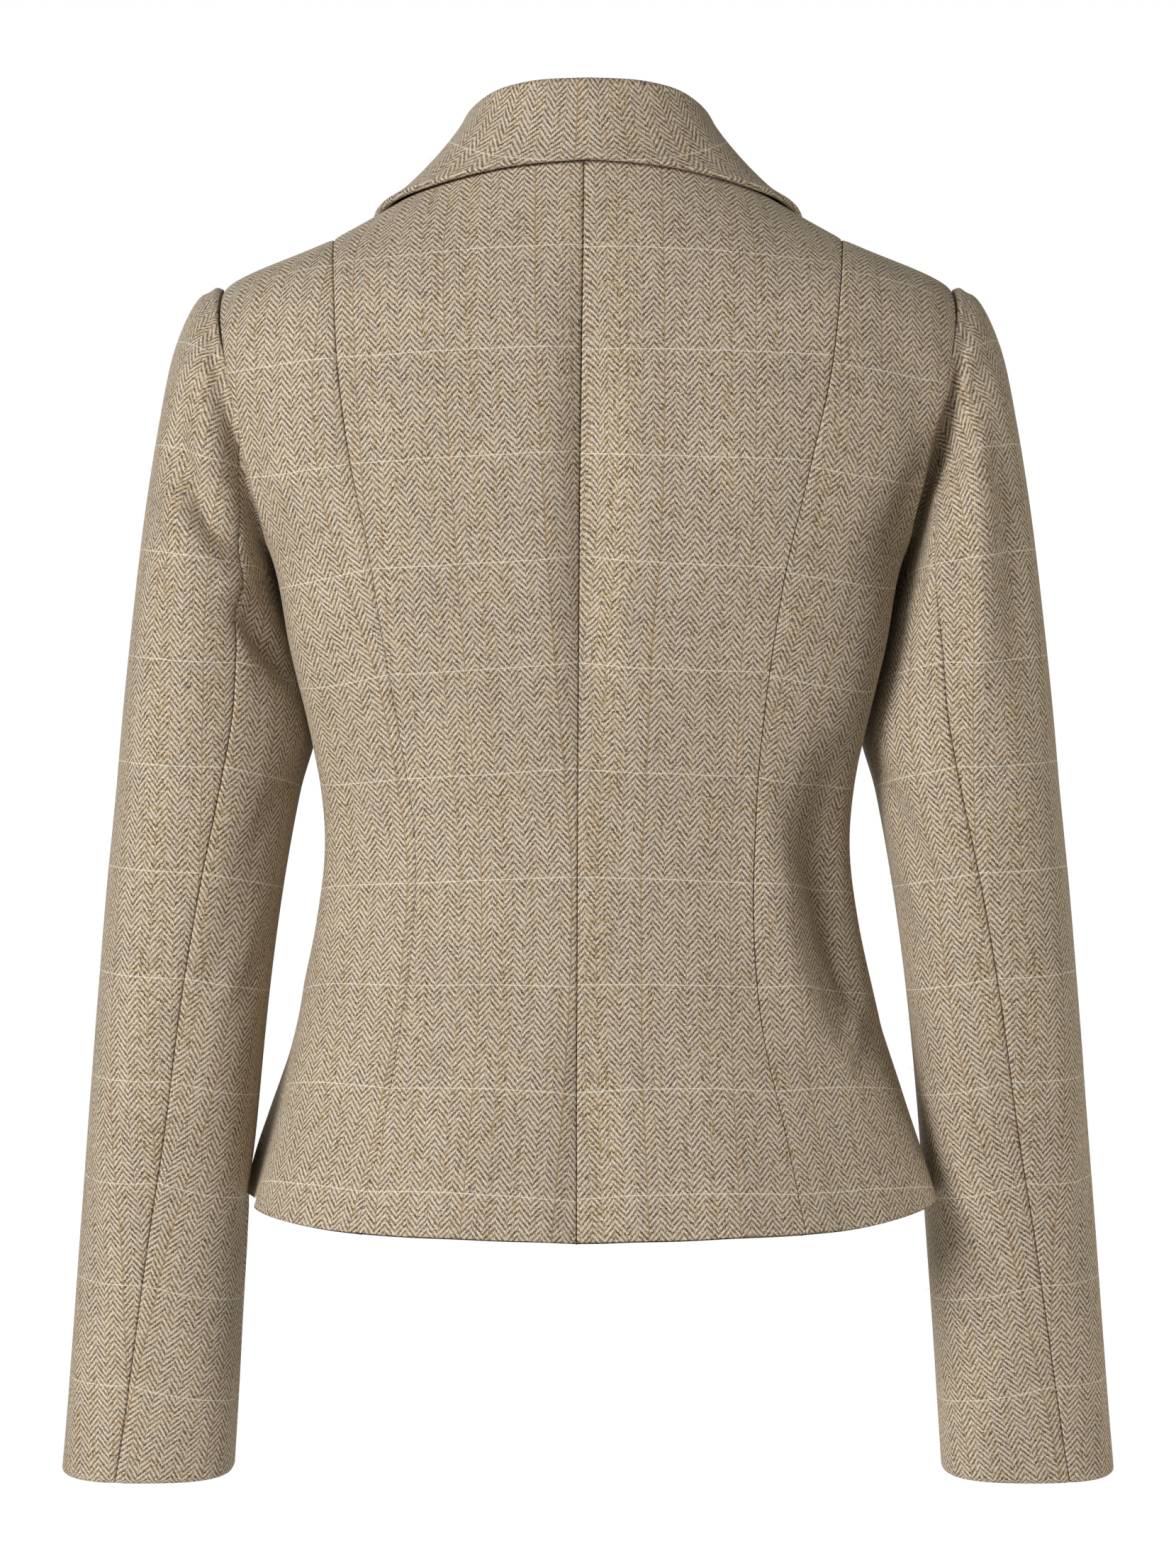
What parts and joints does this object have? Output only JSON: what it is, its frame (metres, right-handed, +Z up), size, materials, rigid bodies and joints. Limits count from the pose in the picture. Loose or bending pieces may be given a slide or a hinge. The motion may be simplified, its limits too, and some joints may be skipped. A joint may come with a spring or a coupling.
{
  "type": "short jacket",
  "caption": "Short fitted tailored jacket with princess-seamed back, turned-down collar, notched lapels and two-piece sleeves, hollow as worn.",
  "frame": {"origin": "middle of the neck opening at the height of the nape seam, where the wearer holds the jacket", "axes": "+Z up, the back faces -Y, the front faces +Y, +X is the wearer's right"},
  "size_m": [0.5476, 0.2556, 0.7178],
  "materials": {
    "tweed": "herringbone wool tweed with a fine overcheck, matt with a soft nap",
    "button": "dark horn, satin"
  },
  "bodies": {
    "root": {"back_left": "tweed", "back_right": "tweed", "side_back_left": "tweed", "side_back_right": "tweed", "front_left": "tweed", "front_right": "tweed", "lapel_left": "tweed", "lapel_right": "tweed", "sleeve_top_left": "tweed", "sleeve_top_right": "tweed", "sleeve_under_left": "tweed", "sleeve_under_right": "tweed", "collar": "tweed", "button_1": "button", "button_2": "button"}
  },
  "joints": []
}
